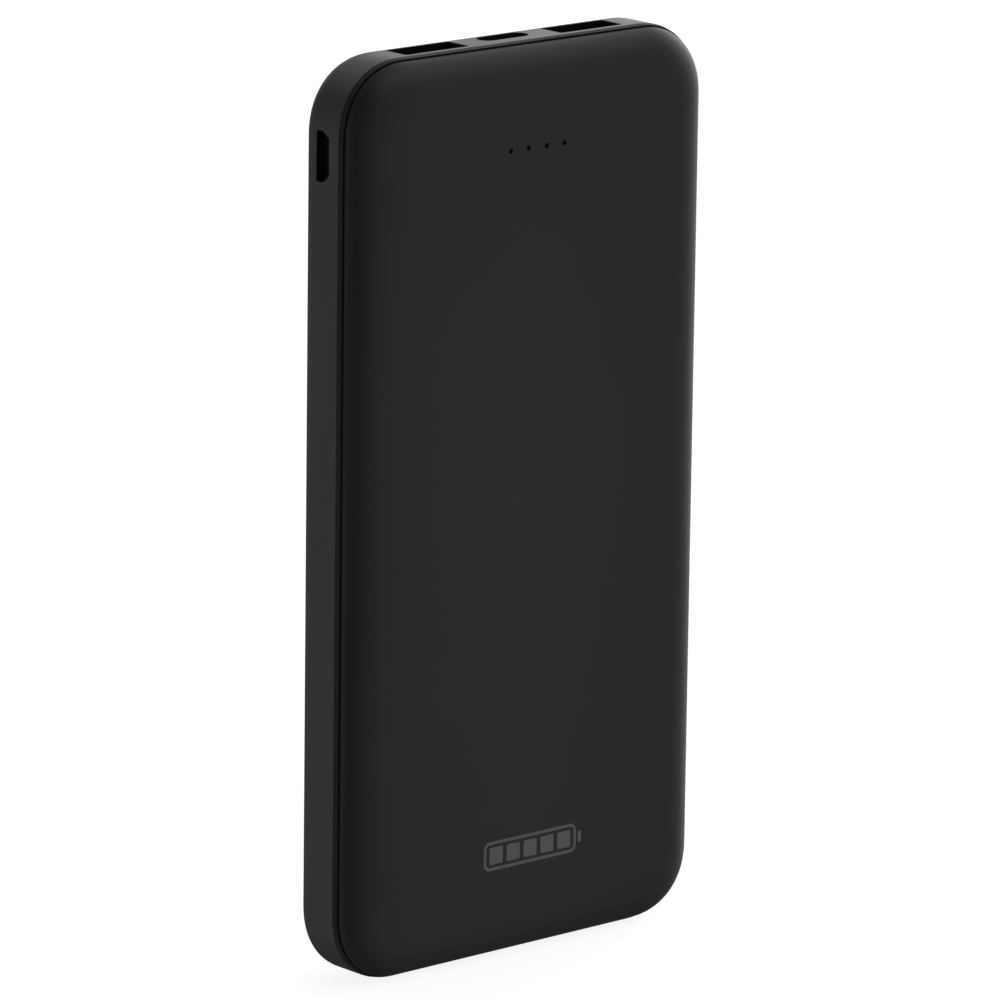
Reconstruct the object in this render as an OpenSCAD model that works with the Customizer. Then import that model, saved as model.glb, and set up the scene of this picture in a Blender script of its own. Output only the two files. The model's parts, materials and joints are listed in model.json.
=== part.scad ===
// Slim power bank: a tray-shaped back shell, a soft-touch front cover, two pouch cells and one board.
// The origin is at the centre of the bottom end, where the standing body rests. +Z runs up to the port
// end, +X is the power button's side, and the front face looks along -Y.
// Every piece is drawn lying on its back: X across, Y from the bottom end to the port end, and Z towards
// the front face with Z = 0 at mid depth. stand() turns it upright.

/* [Casing] */
// Width across the side bands
body_w = 74; // [74:0.5:77]
// Height from the bottom end to the port end
body_h = 148; // [148:0.5:154]
// Depth from the front face to the back face
body_t = 15.4; // [15.4:0.1:16]
// Corner radius seen from the front
corner_r = 11.4; // [11:0.1:12.4]
// Thickness of the side walls
wall_t = 1.5; // [1.4:0.05:1.6]
// Thickness of the front and back faces
face_t = 1.4; // [1.2:0.05:1.45]

/* [Rounded edges] */
// Distance from the cover's rim to its flat face
front_run = 9.5; // [8.5:0.1:10.5]
// Height of the cover's rounded edge
front_rise = 4.75; // [4.6:0.05:4.8]
// How gently the cover's edge settles on its flat face, where 2 is an ellipse
face_power = 2.5; // [2.2:0.1:2.8]
// How square the cover's edge leaves its rim, where 2 is an ellipse
rim_power = 1.8; // [1.7:0.05:2]
// Distance from the side band to the flat back
back_run = 4.9; // [4.4:0.1:5.4]
// Height of the back shell's rounded edge
back_rise = 3.6; // [3.5:0.05:3.7]

/* [Parting line] */
// Depth of the slanted lip at the front of the side band
lip_depth = 0.92; // [0.7:0.02:1]
// How far the lip leans in
lip_lean = 0.2; // [0.15:0.01:0.25]
// Width of the open shadow groove
groove_w = 0.2; // [0.15:0.01:0.3]
// Depth of the shadow groove
groove_depth = 0.45; // [0.3:0.05:0.6]

/* [Ports] */
// Distance of each USB-A port from the centre line
usb_a_x = 16.1; // [15.5:0.1:17]
// Depth of the USB-A ports' centre behind mid depth
usb_a_back = 1.55; // [1.4:0.05:1.6]
// Width of a USB-A cut-out
usb_a_w = 12.7; // [12.6:0.05:12.9]
// Thickness of a USB-A cut-out
usb_a_t = 4.8; // [4.7:0.05:5]
// Depth of the USB-C port's centre behind mid depth
usb_c_back = 2.2; // [2:0.05:2.3]
// Width of the USB-C cut-out
usb_c_w = 9.5; // [9.3:0.05:9.7]
// Thickness of the USB-C cut-out
usb_c_t = 3.3; // [3.25:0.05:3.5]
// Height of the micro-USB port above the bottom end
micro_y = 133.3; // [133:0.1:134]
// Depth of the micro-USB port's centre behind mid depth
micro_back = 1.7; // [1.6:0.05:1.8]
// Length of the micro-USB cut-out
micro_w = 7.9; // [7.8:0.05:8]
// Thickness of the micro-USB cut-out
micro_t = 2.7; // [2.65:0.05:2.8]

/* [Charge lights] */
// Distance from the centre line to the middle of the row of lights
led_x = -1; // [-1:0.1:0]
// Height of the lights above the bottom end
led_y = 132; // [131.8:0.1:132.4]
// Distance between neighbouring lights
led_pitch = 3.72; // [3.5:0.02:3.8]
// Diameter of each light's pinhole
led_hole_d = 0.9; // [0.9:0.05:1.1]

/* [Power button] */
// Height of the button above the bottom end
button_y = 129.5; // [127:0.5:130]
// Length of the button's cap
button_w = 10; // [9:0.1:10.4]
// Width of the button's cap
button_t = 3.2; // [3:0.1:3.4]
// How far the cap stands proud of the side band
button_proud = 0.3; // [0.2:0.05:0.4]

/* [Cells] */
// Width of a pouch cell
cell_w = 62; // [58:1:62]
// Length of a pouch cell with its top seal
cell_h = 110; // [104:1:110]
// Thickness of a pouch cell
cell_t = 5.4; // [5:0.1:5.4]

/* [Hidden] */
// Faces, bands and the parting line along the depth
front_z = body_t / 2;
back_z = -body_t / 2;
cover_z = front_z - front_rise;
rim_height = 0.07;
seat_gap = 0.02;
part_z = cover_z - rim_height;
band_front_z = part_z - lip_depth;
band_back_z = back_z + back_rise;
band_mid_z = (band_front_z + band_back_z) / 2;
lip_land = 0.08;
groove_inset = lip_lean + lip_land;
cover_inset = groove_inset + groove_w;
inner_front_z = front_z - face_t;
floor_z = back_z + face_t;
inner_run_less = 1.3;
groove_under = 0.15;
round_steps = 10;
corner_fn = 96;
cut = 1;
weld = 0.2;
join = 0.01;
part_gap = 0.02;

// Tongue of the cover inside the tray, and its snap hooks
tongue_inset = wall_t + 0.15;
tongue_t = 1.1;
tongue_z = 1.45;
tongue_top_z = cover_z + 0.6;
snap_len = 6;
snap_out = 0.35;
snap_z = 1.6;
snap_h = 0.8;
snap_gap = 0.1;
snap_pocket = 0.3;
snap_rows = [24, 60, 96];
snap_cols = [-24, 24];

// Main board, sunk connectors and the parts on its front
board_t = 1;
board_mid_z = -1.7;
board_front_z = board_mid_z + board_t / 2;
board_back_z = board_mid_z - board_t / 2;
board_inset = 2.4;
board_y0 = 123.5;
slot_gap = 0.1;
port_y1 = body_h - wall_t - 0.1;
sheet_t = 0.3;
usb_a_shell = [13.1, 14, 5.7];
usb_a_round = 0.5;
usb_a_cut_round = 0.3;
usb_a_floor = 1;
usb_a_tongue_z = -usb_a_back + 0.95;
usb_a_tongue_t = 1.8;
usb_c_shell_w = 8.94;
usb_c_shell_t = 3.16;
usb_c_len = 7.3;
usb_c_sheet = 0.25;
micro_shell_w = 7.5;
micro_shell_t = 2.5;
micro_len = 5.4;
micro_sheet = 0.25;
micro_chamfer = 0.28;
port_floor = 0.5;
micro_x0 = -body_w / 2 + wall_t + 0.1;
led_size = [1.6, 0.8, 0.6];
chip_row_y = 127;
capacitor_y = 129.6;
screw_spots = [[-27.5, 126.8], [27, 126.8], [0, 135.6]];
screw_r = 0.74;
screw_hole_r = 0.75;
screw_head_r = 1.5;
screw_head_t = 0.9;
screw_len = 4;
screw_board_gap = 0.2;
boss_r = 2.1;

// Power button, its flange inside the wall and the side switch
button_gap = 0.1;
flange_t = 0.5;
flange_grow = 0.8;
button_travel = 0.3;
wall_in_x = body_w / 2 - wall_t;
flange_x1 = wall_in_x - 0.1;
flange_x0 = flange_x1 - flange_t;
switch_x1 = wall_in_x - 1.9;
switch_size = [3.6, 5.6, 2];
switch_z = board_front_z + switch_size[2] / 2;
plunger_size = [1.7, 2.6, 1];
plunger_out = 0.8;
plunger_gap = 0.05;
plunger_rest = 0.2;
plunger_x1 = switch_x1 + plunger_out;
rib_gap = 0.02;
notch_gap = 0.4;

// Cells, the tape between and under them, and the protection board above them
tape_t = 0.2;
tape_h = cell_h - 20;
cell_y0 = 5.6;
cell_y1 = cell_y0 + cell_h;
cell_mid_y = cell_y0 + cell_h / 2;
cell_round = 1.2;
seal_h = 3;
seal_t = 0.5;
back_cell_z = floor_z + tape_t + cell_t / 2;
front_cell_z = back_cell_z + cell_t + tape_t;
cells_mid_z = (back_cell_z + front_cell_z) / 2;
guard_size = [44, 4, 0.8];
guard_y = cell_y1 + 1.7;
guard_front_z = cells_mid_z + guard_size[2] / 2;
tab_w = 5;
tab_t = 0.15;
tab_rise = cell_t / 2 + tape_t / 2;
tab_xs = [-13, 13];
wire_r = 0.65;
wire_bend_r = 2.9;
wire_x = 18.5;
wire_y0 = guard_y + 2.2;
bumper_gap = 0.05;

// ---- Shared shapes ----

// Lifts a piece drawn on its back into the standing position.
module stand() {
    rotate([90, 0, 0]) children();
}

// Soft quarter curve of [inset, z] points that climbs from a side wall to the front face.
function front_curve(inset, z, run, rise) = [for (i = [0:round_steps]) let (a = 90 * i / round_steps)
    [inset + run * (1 - pow(cos(a), 2 / face_power)), z + rise * pow(sin(a), 2 / rim_power)]];

// Quarter ellipse of [inset, z] points from the back face to a side wall.
function back_curve(inset, z, run, rise) = [for (i = [round_steps:-1:0]) let (a = 90 * i / round_steps)
    [inset + run * (1 - cos(a)), z - rise * sin(a)]];

// Whole cross-section between two mirrored edges, half the given width on each side.
module section(edge, half) {
    right = [for (p = edge) [half - p[0], p[1]]];
    left = [for (i = [len(edge) - 1:-1:0]) [edge[i][0] - half, edge[i][1]]];
    polygon(concat(right, left));
}

// Rounded slab with the casing's outline. edge lists [inset, z] points from back to front.
module plate(edge) {
    rim = [for (p = edge) [corner_r - p[0], p[1]]];
    foot = [[0, edge[0][1]]];
    head = [[0, edge[len(edge) - 1][1]]];
    for (k = [0:3])
        translate([(body_w / 2 - corner_r) * (k == 0 || k == 3 ? 1 : -1),
                body_h / 2 + (body_h / 2 - corner_r) * (k < 2 ? 1 : -1), 0])
            rotate([0, 0, 90 * k])
                rotate_extrude(angle = 90, $fn = corner_fn) polygon(concat(foot, rim, head));
    translate([0, body_h - corner_r, 0])
        rotate([90, 0, 0]) linear_extrude(body_h - 2 * corner_r) section(edge, body_w / 2);
    translate([corner_r - body_w / 2, body_h / 2, 0])
        rotate([90, 0, 90]) linear_extrude(body_w - 2 * corner_r) section(edge, body_h / 2);
}

// Upright ring with the casing's outline, between two insets.
module ring(outer_inset, inner_inset, z0, z1) {
    difference() {
        plate([[outer_inset, z0], [outer_inset, z1]]);
        plate([[inner_inset, z0 - cut], [inner_inset, z1 + cut]]);
    }
}

// Rectangle with true round corners.
module round_rect(w, h, r) {
    square([w, h - 2 * r], center = true);
    square([w - 2 * r, h], center = true);
    for (x = [-1, 1], y = [-1, 1]) translate([x * (w / 2 - r), y * (h / 2 - r)]) circle(r, $fn = 48);
}

// Slot with round ends, longest along its first axis.
module stadium(w, t) {
    square([w - t, t], center = true);
    for (side = [-1, 1]) translate([side * (w - t) / 2, 0]) circle(t / 2, $fn = 48);
}

// Box centred in X and Y that stands on z.
module block(size, x, y, z) {
    translate([x - size[0] / 2, y - size[1] / 2, z]) cube(size);
}

// Turns a flat outline into a bar that points up the body from y, centred on x and z.
module up_bar(x, y, z, length) {
    translate([x, y + length, z]) rotate([90, 0, 0]) linear_extrude(length) children();
}

// Turns a flat outline into a bar that points along +X from x, centred on y and z.
module side_bar(x, y, z, length) {
    translate([x, y, z]) rotate([90, 0, 90]) linear_extrude(length) children();
}

// Repeats a child at every snap, with +X pointing out and X = 0 on the casing's outline.
module at_snaps() {
    for (side = [-1, 1]) {
        for (y = snap_rows)
            translate([side * body_w / 2, y, 0]) rotate([0, 0, side > 0 ? 0 : 180]) children();
        for (x = snap_cols)
            translate([x, side > 0 ? body_h : 0, 0]) rotate([0, 0, 90 * side]) children();
    }
}

// Repeats a child at each of the four charge lights.
module at_leds() {
    for (i = [0:3]) translate([led_x + led_pitch * (i - 1.5), led_y, 0]) children();
}

// Outline of a micro-USB port: its front corners are cut off.
module micro_outline(w, t) {
    chamfer = t * micro_chamfer;
    polygon([[-w / 2, -t / 2], [w / 2, -t / 2], [w / 2, t / 2 - 1.4 * chamfer], [w / 2 - chamfer, t / 2],
        [chamfer - w / 2, t / 2], [-w / 2, t / 2 - 1.4 * chamfer]]);
}

// ---- Casing ----

module cover_hooks() {
    nose_z0 = 0.5 * snap_h;
    nose_z1 = 0.7 * snap_h;
    at_snaps() translate([-tongue_inset, snap_len / 2, snap_z]) rotate([90, 0, 0])
        linear_extrude(snap_len)
            polygon([[-tongue_t / 2, 0], [0, 0], [snap_out, nose_z0], [snap_out, nose_z1],
                [0, snap_h], [-tongue_t / 2, snap_h]]);
}

module front_cover() color("#242426") stand() {
    base_z = part_z + seat_gap;
    inner = cover_inset + wall_t;
    difference() {
        union() {
            difference() {
                plate(concat([[cover_inset, base_z]],
                    front_curve(cover_inset, cover_z, front_run, front_rise)));
                plate(concat([[inner, base_z - cut]],
                    front_curve(inner, cover_z, front_run - inner_run_less, front_rise - face_t)));
            }
            ring(tongue_inset, tongue_inset + tongue_t, tongue_z, tongue_top_z);
            cover_hooks();
        }
        at_leds() translate([0, 0, inner_front_z - cut])
            cylinder(d = led_hole_d, h = face_t + 2 * cut, $fn = 32);
    }
}

// Short ribs beside the cells and one rib across the tray below the board.
module tray_ribs() {
    rib_t = 1;
    rib_rows = [34, 70, 106];
    cell_gap = 0.3;
    top_gap = 0.3;
    rib_z0 = floor_z - weld;
    rib_x0 = cell_w / 2 + cell_gap;
    rib_x1 = wall_in_x + weld;
    cross_rib = [66, rib_t, board_back_z - weld - rib_z0];
    for (side = [-1, 1], y = rib_rows)
        translate([side > 0 ? rib_x0 : -rib_x1, y - rib_t / 2, rib_z0])
            cube([rib_x1 - rib_x0, rib_t, tongue_z - top_gap - rib_z0]);
    block(cross_rib, 0, board_y0 - rib_t, rib_z0);
}

module board_bosses() {
    for (p = screw_spots) translate([p[0], p[1], floor_z - weld])
        cylinder(r = boss_r, h = board_back_z - floor_z + weld, $fn = 48);
}

module port_cuts() {
    for (side = [-1, 1]) up_bar(side * usb_a_x, body_h - 2 * wall_t, -usb_a_back, 3 * wall_t)
        round_rect(usb_a_w, usb_a_t, usb_a_cut_round);
    up_bar(0, body_h - 2 * wall_t, -usb_c_back, 3 * wall_t) stadium(usb_c_w, usb_c_t);
    side_bar(-body_w / 2 - wall_t, micro_y, -micro_back, 3 * wall_t) micro_outline(micro_w, micro_t);
    side_bar(body_w / 2 - 2 * wall_t, button_y, band_mid_z, 3 * wall_t)
        stadium(button_w + 2 * button_gap, button_t + 2 * button_gap);
}

module back_shell() color("#2c2c2e") stand() {
    difference() {
        union() {
            difference() {
                plate(concat(back_curve(0, band_back_z, back_run, back_rise),
                    [[0, band_front_z], [lip_lean, part_z]]));
                plate(concat(back_curve(wall_t, band_back_z, back_run - inner_run_less,
                    back_rise - face_t), [[wall_t, part_z + cut]]));
            }
            tray_ribs();
            board_bosses();
        }
        ring(groove_inset, cover_inset + groove_under, part_z - groove_depth, part_z + cut);
        at_snaps() translate([-wall_t - cut, -snap_len / 2 - snap_gap, snap_z - snap_gap])
            cube([cut + snap_pocket, snap_len + 2 * snap_gap, snap_h + 2 * snap_gap]);
        for (p = screw_spots) translate([p[0], p[1], floor_z])
            cylinder(r = screw_hole_r, h = board_back_z - floor_z + cut, $fn = 32);
        port_cuts();
    }
}

// A plain battery outline with five charge bars, printed on the front near the bottom end.
module printed_symbol() color("#6a6a6c") stand() {
    ink_t = 0.02;
    symbol = [19.6, 4.8];
    symbol_y = 18;
    line_t = 0.5;
    round_r = 1.2;
    cap = [0.7, 2];
    cap_gap = 0.4;
    bar = [2.8, 2.8];
    bar_pitch = 3.6;
    small_r = 0.3;
    translate([-(cap[0] + cap_gap) / 2, symbol_y, front_z]) linear_extrude(ink_t) {
        difference() {
            round_rect(symbol[0], symbol[1], round_r);
            round_rect(symbol[0] - 2 * line_t, symbol[1] - 2 * line_t, round_r - line_t);
        }
        translate([(symbol[0] + cap[0]) / 2 + cap_gap, 0]) round_rect(cap[0], cap[1], small_r);
        for (i = [-2:2]) translate([i * bar_pitch, 0]) round_rect(bar[0], bar[1], small_r);
    }
}

// ---- Power button and its switch ----

module power_button() color("#2c2c2e") stand() {
    rib = [plunger_size[1], plunger_size[2]];
    cap_x0 = flange_x0 + flange_t / 2;
    side_bar(cap_x0, button_y, band_mid_z, body_w / 2 + button_proud - cap_x0) stadium(button_w, button_t);
    side_bar(flange_x0, button_y, band_mid_z, flange_t)
        stadium(button_w + 2 * flange_grow, button_t + 2 * flange_grow);
    side_bar(plunger_x1 + rib_gap, button_y, switch_z, flange_x0 - plunger_x1) square(rib, center = true);
}

module switch_body() color("#1b1b1d") stand() {
    slot = plunger_size[0] - plunger_out + button_travel + plunger_rest;
    difference() {
        block(switch_size, switch_x1 - switch_size[0] / 2, button_y, board_front_z);
        side_bar(switch_x1 - slot, button_y, switch_z, slot + cut)
            square([plunger_size[1] + 2 * plunger_gap, plunger_size[2] + 2 * plunger_gap], center = true);
    }
}

module switch_plunger() color("#e8e4da") stand() {
    side_bar(plunger_x1 - plunger_size[0], button_y, switch_z, plunger_size[0])
        square([plunger_size[1], plunger_size[2]], center = true);
}

// ---- Main board and what is on it ----

module main_circuit_board() color("#14532d") stand() {
    notch_h = button_w + 2 * (flange_grow + notch_gap);
    translate([0, 0, board_back_z]) linear_extrude(board_t) difference() {
        intersection() {
            translate([0, body_h / 2]) round_rect(body_w - 2 * board_inset, body_h - 2 * board_inset,
                corner_r - board_inset);
            translate([-body_w / 2, board_y0]) square([body_w, body_h]);
        }
        for (side = [-1, 1])
            translate([side * usb_a_x - usb_a_shell[0] / 2 - slot_gap, port_y1 - usb_a_shell[1] - slot_gap])
                square([usb_a_shell[0] + 2 * slot_gap, body_h]);
        translate([-usb_c_shell_w / 2 - slot_gap, port_y1 - usb_c_len - slot_gap])
            square([usb_c_shell_w + 2 * slot_gap, body_h]);
        translate([-body_w / 2, micro_y - micro_shell_w / 2 - slot_gap])
            square([micro_x0 + micro_len + slot_gap + body_w / 2, micro_shell_w + 2 * slot_gap]);
        translate([flange_x0 - button_travel - notch_gap, button_y - notch_h / 2])
            square([body_w, notch_h]);
        for (p = screw_spots) translate(p) circle(screw_r + screw_board_gap, $fn = 32);
    }
}

module usb_a_shell_at(x) {
    size = usb_a_shell;
    y0 = port_y1 - size[1];
    difference() {
        up_bar(x, y0, -usb_a_back, size[1]) round_rect(size[0], size[2], usb_a_round);
        up_bar(x, y0 + usb_a_floor, -usb_a_back, size[1])
            round_rect(size[0] - 2 * sheet_t, size[2] - 2 * sheet_t, usb_a_round - sheet_t);
    }
}

module usb_a_tongue_at(x) {
    foot = [12.4, 2, 5];
    blade_w = 11.1;
    blade_len = 8.8;
    y0 = port_y1 - usb_a_shell[1] + usb_a_floor + part_gap;
    up_bar(x, y0, -usb_a_back, foot[1]) square([foot[0], foot[2]], center = true);
    up_bar(x, y0 + foot[1] - join, usb_a_tongue_z, blade_len)
        square([blade_w, usb_a_tongue_t], center = true);
}

module usb_a_contacts_at(x) {
    contact = [1, 7.4, 0.2];
    pitch = 2.3;
    contact_y = port_y1 - 6.4;
    contact_z1 = usb_a_tongue_z - usb_a_tongue_t / 2 - part_gap;
    for (i = [-1.5:1.5]) block(contact, x + i * pitch, contact_y, contact_z1 - contact[2]);
}

module usb_a_left_shell() color("#b9bbbf") stand() usb_a_shell_at(-usb_a_x);
module usb_a_right_shell() color("#b9bbbf") stand() usb_a_shell_at(usb_a_x);
module usb_a_left_tongue() color("#151517") stand() usb_a_tongue_at(-usb_a_x);
module usb_a_right_tongue() color("#151517") stand() usb_a_tongue_at(usb_a_x);
module usb_a_left_contacts() color("#c9a227") stand() usb_a_contacts_at(-usb_a_x);
module usb_a_right_contacts() color("#c9a227") stand() usb_a_contacts_at(usb_a_x);

module usb_c_shell() color("#b9bbbf") stand() {
    y0 = port_y1 - usb_c_len;
    difference() {
        up_bar(0, y0, -usb_c_back, usb_c_len) stadium(usb_c_shell_w, usb_c_shell_t);
        up_bar(0, y0 + port_floor, -usb_c_back, usb_c_len)
            stadium(usb_c_shell_w - 2 * usb_c_sheet, usb_c_shell_t - 2 * usb_c_sheet);
    }
}

module usb_c_tongue() color("#151517") stand() {
    foot = [8.3, 1.2, 2.5];
    blade = [6.7, 4.6, 0.7];
    y0 = port_y1 - usb_c_len + port_floor + part_gap;
    up_bar(0, y0, -usb_c_back, foot[1]) stadium(foot[0], foot[2]);
    up_bar(0, y0 + foot[1] - join, -usb_c_back, blade[1]) square([blade[0], blade[2]], center = true);
}

module usb_c_contacts() color("#c9a227") stand() {
    contact = [0.25, 3.4, 0.08];
    pitch = 0.5;
    contact_y = port_y1 - 3;
    off_blade = 0.4;
    for (i = [-5.5:5.5], side = [-1, 1])
        block(contact, i * pitch, contact_y, -usb_c_back + side * off_blade - contact[2] / 2);
}

module micro_usb_shell() color("#b9bbbf") stand() {
    difference() {
        side_bar(micro_x0, micro_y, -micro_back, micro_len) micro_outline(micro_shell_w, micro_shell_t);
        side_bar(micro_x0 - cut, micro_y, -micro_back, micro_len - port_floor + cut)
            micro_outline(micro_shell_w - 2 * micro_sheet, micro_shell_t - 2 * micro_sheet);
    }
}

module micro_usb_tongue() color("#151517") stand() {
    foot = [0.8, 6.4, 1.6];
    blade = [3, 4, 0.6];
    foot_z = -micro_back - 0.1;
    blade_z = -micro_back - 0.35;
    foot_x0 = micro_x0 + micro_len - port_floor - part_gap - foot[0];
    side_bar(foot_x0, micro_y, foot_z, foot[0]) square([foot[1], foot[2]], center = true);
    side_bar(foot_x0 - blade[0], micro_y, blade_z, blade[0] + join)
        square([blade[1], blade[2]], center = true);
}

module micro_usb_contacts() color("#c9a227") stand() {
    contact = [2.4, 0.35, 0.08];
    pitch = 0.65;
    contact_x = micro_x0 + 2.6;
    for (i = [-2:2]) block(contact, contact_x, micro_y + pitch * i, -micro_back - contact[2] / 2);
}

module charge_leds() color("#f4f1e4") stand() {
    at_leds() block(led_size, 0, 0, board_front_z);
}

module led_light_guide() color("#e9eef2") stand() {
    bar = [15, 3, 0.8];
    pin_r = 0.4;
    pipe_r = 1;
    pin_top_z = front_z - 0.8;
    led_gap = 0.2;
    pipe_z0 = board_front_z + led_size[2] + led_gap;
    bar_z0 = inner_front_z - bar[2] - part_gap;
    block(bar, led_x, led_y, bar_z0);
    at_leds() {
        translate([0, 0, pipe_z0]) cylinder(r = pipe_r, h = bar_z0 - pipe_z0, $fn = 32);
        translate([0, 0, bar_z0]) cylinder(r = pin_r, h = pin_top_z - bar_z0, $fn = 32);
    }
}

module power_inductor() color("#4a4a4d") stand() {
    side = 6.6;
    core_d = 5.4;
    height = 3;
    base_t = 0.5;
    lid_t = 0.6;
    base_round = 0.8;
    lid_round = 2;
    translate([-3.4, 127.4, board_front_z]) {
        linear_extrude(base_t) round_rect(side, side, base_round);
        cylinder(d = core_d, h = height, $fn = 48);
        translate([0, 0, height - lid_t]) linear_extrude(lid_t) round_rect(side, side, lid_round);
    }
}

module controller_chip() color("#1f1f22") stand() {
    chip = [4, 4, 0.85];
    block(chip, 4.2, chip_row_y, board_front_z);
}

module output_transistors() color("#242428") stand() {
    transistor = [3.3, 3.3, 0.9];
    for (x = [-11, 10.6]) block(transistor, x, chip_row_y, board_front_z);
}

module ceramic_capacitors() color("#a8865c") stand() {
    large = [3.2, 1.6, 1.5];
    small = [0.8, 1.6, 0.8];
    for (x = [-22.6, 22.4]) block(large, x, capacitor_y, board_front_z);
    for (x = [-15.4, -13.6, 13.4, 15.2]) block(small, x, capacitor_y, board_front_z);
}

module chip_resistors() color("#2b2b30") stand() {
    resistor = [0.5, 1, 0.35];
    turned = [1, 0.5, 0.35];
    pitch = 1.1;
    row = [3.45, 130.4];
    column = [26.6, 129.6];
    for (i = [0:4]) block(resistor, row[0] + pitch * i, row[1], board_front_z);
    for (i = [0:3]) block(turned, column[0], column[1] + pitch * i, board_front_z);
}

module board_screws() color("#c5c7ca") stand() {
    slot = [1.8, 0.4, 1];
    slot_depth = 0.45;
    for (p = screw_spots) translate([p[0], p[1], board_front_z]) difference() {
        union() {
            cylinder(r = screw_head_r, h = screw_head_t, $fn = 32);
            translate([0, 0, -screw_len]) cylinder(r = screw_r, h = screw_len + join, $fn = 32);
        }
        for (turn = [0, 90]) rotate([0, 0, turn]) block(slot, 0, 0, screw_head_t - slot_depth);
    }
}

// ---- Cells and their wiring ----

module cell_at(z) {
    up_bar(0, cell_y0, z, cell_h - seal_h) round_rect(cell_w, cell_t, cell_round);
    up_bar(0, cell_y1 - seal_h - join, z, seal_h + join) square([cell_w, seal_t], center = true);
}

module front_cell() color("#8f949b") stand() cell_at(front_cell_z);
module back_cell() color("#8f949b") stand() cell_at(back_cell_z);

// One nickel tab, bent from a cell's mid height to the face of the protection board.
module cell_tab() {
    y0 = cell_y1 + part_gap;
    y1 = y0 + 0.7;
    y2 = guard_y + 2.6;
    z0 = tab_rise;
    z1 = guard_size[2] / 2 + part_gap;
    rotate([90, 0, 90]) linear_extrude(tab_w, center = true)
        polygon([[y0, z0], [y1, z0], [y1, z1], [y2, z1], [y2, z1 + tab_t], [y1 + tab_t, z1 + tab_t],
            [y1 + tab_t, z0 + tab_t], [y0, z0 + tab_t]]);
}

module cell_tabs() color("#d3d3cf") stand() {
    for (x = tab_xs) translate([x, 0, cells_mid_z]) {
        cell_tab();
        mirror([0, 0, 1]) cell_tab();
    }
}

// Card strip that keeps the protection board off the cells' foil; the tabs pass above and below it.
module insulation_strip() color("#d8d2b8") stand() {
    strip = [cell_w - 10, 0.4, 2 * tab_rise - 0.5];
    strip_y = cell_y1 + 0.3;
    block(strip, 0, strip_y, cells_mid_z - strip[2] / 2);
}

module protection_board() color("#14532d") stand() {
    block(guard_size, 0, guard_y + guard_size[1] / 2, cells_mid_z - guard_size[2] / 2);
}

module protection_chips() color("#1f1f22") stand() {
    transistor = [3, 2.4, 1];
    chip = [1.6, 1.6, 0.9];
    y = guard_y + guard_size[1] / 2;
    for (x = [-6, 0]) block(transistor, x, y, guard_front_z);
    block(chip, 6, y, guard_front_z);
}

// Wire that arches from the protection board to the main board.
module wire_at(x) {
    drop = guard_front_z - board_front_z;
    translate([x, wire_y0 + wire_bend_r, guard_front_z])
        rotate([90, 0, 90]) {
            rotate_extrude(angle = 180, $fn = 64) translate([wire_bend_r, 0]) circle(wire_r, $fn = 32);
            translate([wire_bend_r, 0, 0]) rotate([90, 0, 0]) cylinder(r = wire_r, h = drop, $fn = 32);
        }
}

module positive_wire() color("#b3201f") stand() wire_at(wire_x);
module negative_wire() color("#141416") stand() wire_at(-wire_x);

module cell_bonding_tape() color("#e6e1cf") stand() {
    block([cell_w - 12, tape_h, tape_t], 0, cell_mid_y, cells_mid_z - tape_t / 2);
}

module tray_tape() color("#e6e1cf") stand() {
    strip = [14, tape_h, tape_t];
    for (x = [-18, 18]) block(strip, x, cell_mid_y, floor_z);
}

module foam_pads() color("#2a2a2c") stand() {
    pad = [8, 84, inner_front_z - front_cell_z - cell_t / 2];
    for (x = [-20, 20]) block(pad, x, cell_mid_y, inner_front_z - pad[2]);
}

module bottom_bumper() color("#2a2a2c") stand() {
    bumper = [44, cell_y0 - wall_t - 2 * bumper_gap, 4.8];
    block(bumper, 0, (cell_y0 + wall_t) / 2, cells_mid_z - 3);
}

front_cover();
back_shell();
printed_symbol();
power_button();
led_light_guide();
charge_leds();
main_circuit_board();
usb_a_left_shell();
usb_a_left_tongue();
usb_a_left_contacts();
usb_a_right_shell();
usb_a_right_tongue();
usb_a_right_contacts();
usb_c_shell();
usb_c_tongue();
usb_c_contacts();
micro_usb_shell();
micro_usb_tongue();
micro_usb_contacts();
switch_body();
switch_plunger();
power_inductor();
controller_chip();
output_transistors();
ceramic_capacitors();
chip_resistors();
board_screws();
front_cell();
back_cell();
cell_tabs();
insulation_strip();
protection_board();
protection_chips();
positive_wire();
negative_wire();
cell_bonding_tape();
tray_tape();
foam_pads();
bottom_bumper();
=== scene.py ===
"""Looks of the slim power bank: smooth shell meshes, procedural materials, soft light and the camera."""
import json
import math

import bmesh
import bpy
from mathutils import Matrix, Vector


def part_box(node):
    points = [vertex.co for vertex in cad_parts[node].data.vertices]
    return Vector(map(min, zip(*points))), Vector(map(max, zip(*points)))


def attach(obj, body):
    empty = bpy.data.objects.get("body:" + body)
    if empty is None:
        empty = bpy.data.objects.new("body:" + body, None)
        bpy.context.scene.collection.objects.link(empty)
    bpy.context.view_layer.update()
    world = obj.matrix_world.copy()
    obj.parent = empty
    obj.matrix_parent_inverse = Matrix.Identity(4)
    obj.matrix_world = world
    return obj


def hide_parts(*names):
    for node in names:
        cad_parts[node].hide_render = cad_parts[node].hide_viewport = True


MM = 0.001

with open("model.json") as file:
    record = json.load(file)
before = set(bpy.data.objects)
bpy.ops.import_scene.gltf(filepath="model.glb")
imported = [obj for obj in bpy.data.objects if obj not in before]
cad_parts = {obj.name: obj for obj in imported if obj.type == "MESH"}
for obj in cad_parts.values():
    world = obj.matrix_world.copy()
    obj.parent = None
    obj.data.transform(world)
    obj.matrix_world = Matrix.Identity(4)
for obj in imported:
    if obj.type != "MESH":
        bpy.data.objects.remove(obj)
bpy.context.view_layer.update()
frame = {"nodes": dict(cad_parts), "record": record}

# ---- Places taken from the frame ----

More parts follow.
